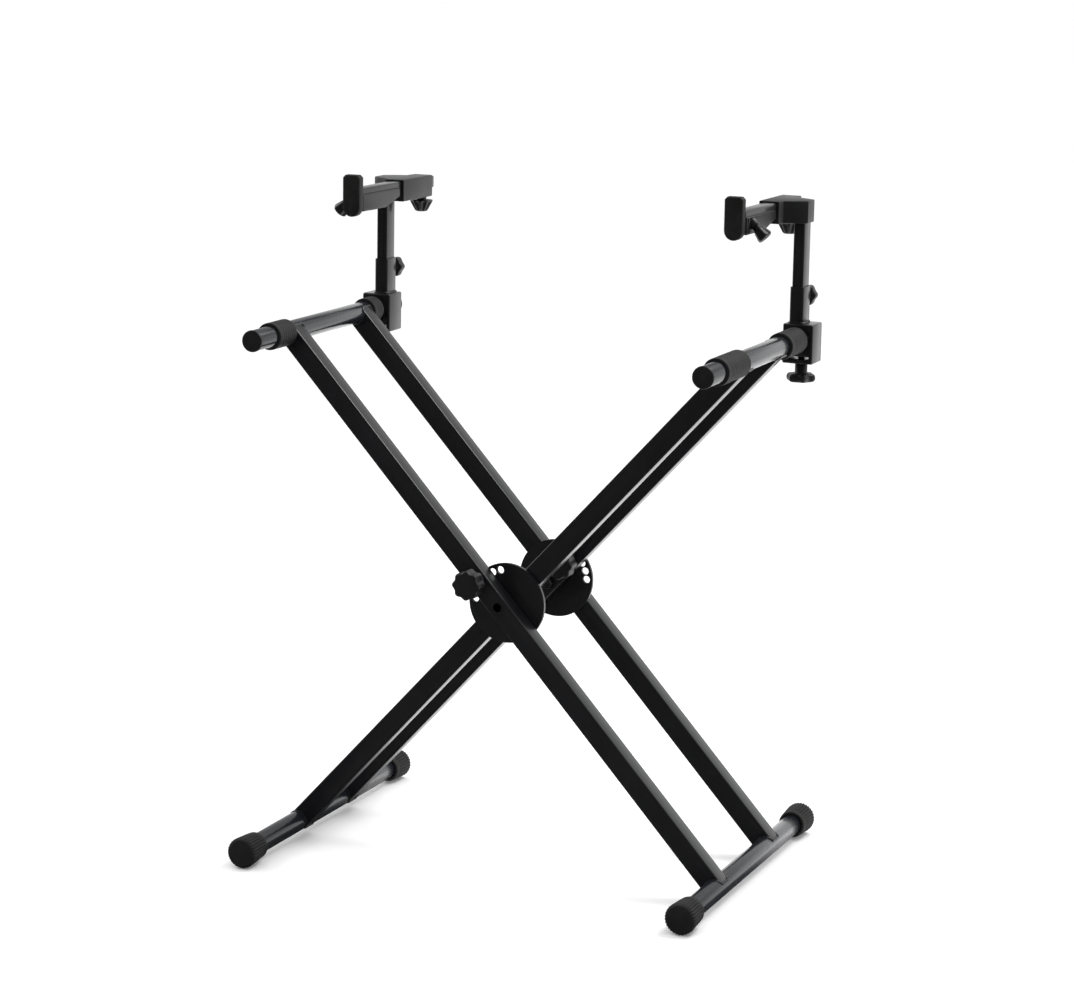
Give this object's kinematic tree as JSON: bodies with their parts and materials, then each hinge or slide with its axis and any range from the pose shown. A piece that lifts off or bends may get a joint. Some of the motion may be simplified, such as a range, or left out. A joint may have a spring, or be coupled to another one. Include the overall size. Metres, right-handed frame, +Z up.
{
  "type": "two-tier keyboard stand",
  "caption": "Folding stand for two keyboards: crossed tube frames with lock discs and pull pins, padded support arms, and clamp-on uprights with shelf arms and front stops.",
  "frame": {"origin": "on the floor under the pivot, at the middle of the stand's length and depth", "axes": "+X to the player's right along the keyboards, +Y away from the player, +Z up"},
  "size_m": [0.7186, 0.534, 0.981],
  "materials": {
    "frame": "satin black paint",
    "tube": "satin slate paint",
    "rubber": "matte black rubber",
    "plastic": "fine-grained black moulding",
    "steel": "blackened steel"
  },
  "bodies": {
    "outer_frame": {"outer_leg_front": "frame", "outer_leg_rear": "frame", "rear_lock_disc": "frame", "right_foot_tube": "tube", "left_support_arm": "tube", "right_foot_cap_front": "rubber", "right_foot_cap_rear": "rubber", "left_arm_sleeve_front": "rubber", "left_arm_sleeve_rear": "rubber", "left_arm_cap_front": "plastic", "left_arm_cap_rear": "plastic", "pivot_bolt_front": "steel", "pivot_bolt_rear": "steel", "pivot_nut_front": "steel", "pivot_nut_rear": "steel", "pivot_washer_front": "steel", "pivot_washer_rear": "steel", "front_lock_bush": "steel"},
    "inner_frame": {"inner_leg_front": "frame", "inner_leg_rear": "frame", "front_lock_disc": "frame", "left_foot_tube": "tube", "right_support_arm": "tube", "left_foot_cap_front": "rubber", "left_foot_cap_rear": "rubber", "right_arm_sleeve_front": "rubber", "right_arm_sleeve_rear": "rubber", "right_arm_cap_front": "plastic", "right_arm_cap_rear": "plastic", "rear_lock_bush": "steel"},
    "front_lock": {"front_lock_knob": "plastic", "front_lock_pin": "steel"},
    "rear_lock": {"rear_lock_knob": "plastic", "rear_lock_pin": "steel"},
    "left_tier_liner": {"left_clamp_liner": "plastic"},
    "left_tier_clamp": {"left_clamp_saddle": "frame", "left_clamp_shoe": "steel", "left_outer_upright": "frame"},
    "left_clamp_turn": {"left_clamp_knob": "plastic"},
    "left_tier_upright": {"left_inner_upright": "frame", "left_head_bracket": "plastic"},
    "left_height_turn": {"left_height_knob": "plastic"},
    "left_rear_turn": {"left_rear_knob": "plastic"},
    "left_tier_shelf": {"left_shelf_arm": "frame"},
    "left_tier_stop": {"left_front_stop": "plastic", "left_stop_peg": "rubber"},
    "left_stop_turn": {"left_stop_knob": "plastic"},
    "right_tier_liner": {"right_clamp_liner": "plastic"},
    "right_tier_clamp": {"right_clamp_saddle": "frame", "right_clamp_shoe": "steel", "right_outer_upright": "frame"},
    "right_clamp_turn": {"right_clamp_knob": "plastic"},
    "right_tier_upright": {"right_inner_upright": "frame", "right_head_bracket": "plastic"},
    "right_height_turn": {"right_height_knob": "plastic"},
    "right_rear_turn": {"right_rear_knob": "plastic"},
    "right_tier_shelf": {"right_shelf_arm": "frame"},
    "right_tier_stop": {"right_front_stop": "plastic", "right_stop_peg": "rubber"},
    "right_stop_turn": {"right_stop_knob": "plastic"}
  },
  "joints": [
    {"name": "fold", "type": "hinge", "parent": "outer_frame", "child": "inner_frame", "pos_m": [0, 0, 0.39311], "axis": [0, -1, 0], "range_deg": [-48, 70]},
    {"name": "front_lock_pull", "type": "slide", "parent": "outer_frame", "child": "front_lock", "axis": [0, -1, 0], "range_m": [0, 0.014], "stiffness_N_per_m": 600, "springref_m": -0.01},
    {"name": "rear_lock_pull", "type": "slide", "parent": "inner_frame", "child": "rear_lock", "axis": [0, -1, 0], "range_m": [0, 0.014], "stiffness_N_per_m": 600, "springref_m": -0.01},
    {"name": "left_clamp_slide", "type": "slide", "parent": "outer_frame", "child": "left_tier_liner", "axis": [0, 1, 0], "range_m": [-0.008, 0.012]},
    {"name": "left_clamp_swing", "type": "hinge", "parent": "left_tier_liner", "child": "left_tier_clamp", "pos_m": [-0.33619, 0.192, 0.76322], "axis": [0, -1, 0], "range_deg": [-40, 40]},
    {"name": "left_clamp_knob_turn", "type": "hinge", "parent": "left_tier_clamp", "child": "left_clamp_turn", "pos_m": [-0.33619, 0.192, 0.76322], "axis": [0, 0, 1], "continuous": true},
    {"name": "left_height_slide", "type": "slide", "parent": "left_tier_clamp", "child": "left_tier_upright", "axis": [0, 0, 1], "range_m": [0, 0.03]},
    {"name": "left_height_knob_turn", "type": "hinge", "parent": "left_tier_clamp", "child": "left_height_turn", "pos_m": [-0.331, 0.192, 0.822], "axis": [0, 1, 0], "continuous": true},
    {"name": "left_rear_knob_turn", "type": "hinge", "parent": "left_tier_upright", "child": "left_rear_turn", "pos_m": [-0.295, 0.242, 0.93], "axis": [0, 0, 1], "continuous": true},
    {"name": "left_shelf_slide", "type": "slide", "parent": "left_tier_upright", "child": "left_tier_shelf", "axis": [0, -1, 0], "range_m": [-0.008, 0.04]},
    {"name": "left_stop_slide", "type": "slide", "parent": "left_tier_shelf", "child": "left_tier_stop", "axis": [0, -1, 0], "range_m": [0, 0.06]},
    {"name": "left_stop_knob_turn", "type": "hinge", "parent": "left_tier_stop", "child": "left_stop_turn", "pos_m": [-0.3075, 0.031, 0.9455], "axis": [-0.7071, 0, -0.7071], "continuous": true},
    {"name": "right_clamp_slide", "type": "slide", "parent": "inner_frame", "child": "right_tier_liner", "axis": [0, 1, 0], "range_m": [-0.008, 0.012]},
    {"name": "right_clamp_swing", "type": "hinge", "parent": "right_tier_liner", "child": "right_tier_clamp", "pos_m": [0.33619, 0.192, 0.76322], "axis": [0, -1, 0], "range_deg": [-40, 40]},
    {"name": "right_clamp_knob_turn", "type": "hinge", "parent": "right_tier_clamp", "child": "right_clamp_turn", "pos_m": [0.33619, 0.192, 0.76322], "axis": [0, 0, 1], "continuous": true},
    {"name": "right_height_slide", "type": "slide", "parent": "right_tier_clamp", "child": "right_tier_upright", "axis": [0, 0, 1], "range_m": [0, 0.03]},
    {"name": "right_height_knob_turn", "type": "hinge", "parent": "right_tier_clamp", "child": "right_height_turn", "pos_m": [0.331, 0.192, 0.822], "axis": [0, 1, 0], "continuous": true},
    {"name": "right_rear_knob_turn", "type": "hinge", "parent": "right_tier_upright", "child": "right_rear_turn", "pos_m": [0.295, 0.242, 0.93], "axis": [0, 0, 1], "continuous": true},
    {"name": "right_shelf_slide", "type": "slide", "parent": "right_tier_upright", "child": "right_tier_shelf", "axis": [0, -1, 0], "range_m": [-0.008, 0.04]},
    {"name": "right_stop_slide", "type": "slide", "parent": "right_tier_shelf", "child": "right_tier_stop", "axis": [0, -1, 0], "range_m": [0, 0.06]},
    {"name": "right_stop_knob_turn", "type": "hinge", "parent": "right_tier_stop", "child": "right_stop_turn", "pos_m": [0.3075, 0.031, 0.9455], "axis": [0.7071, 0, -0.7071], "continuous": true}
  ],
  "couplings": [
    {"joint": "left_clamp_swing", "follows": "fold", "ratio": 0.5},
    {"joint": "right_clamp_swing", "follows": "fold", "ratio": -0.5}
  ]
}
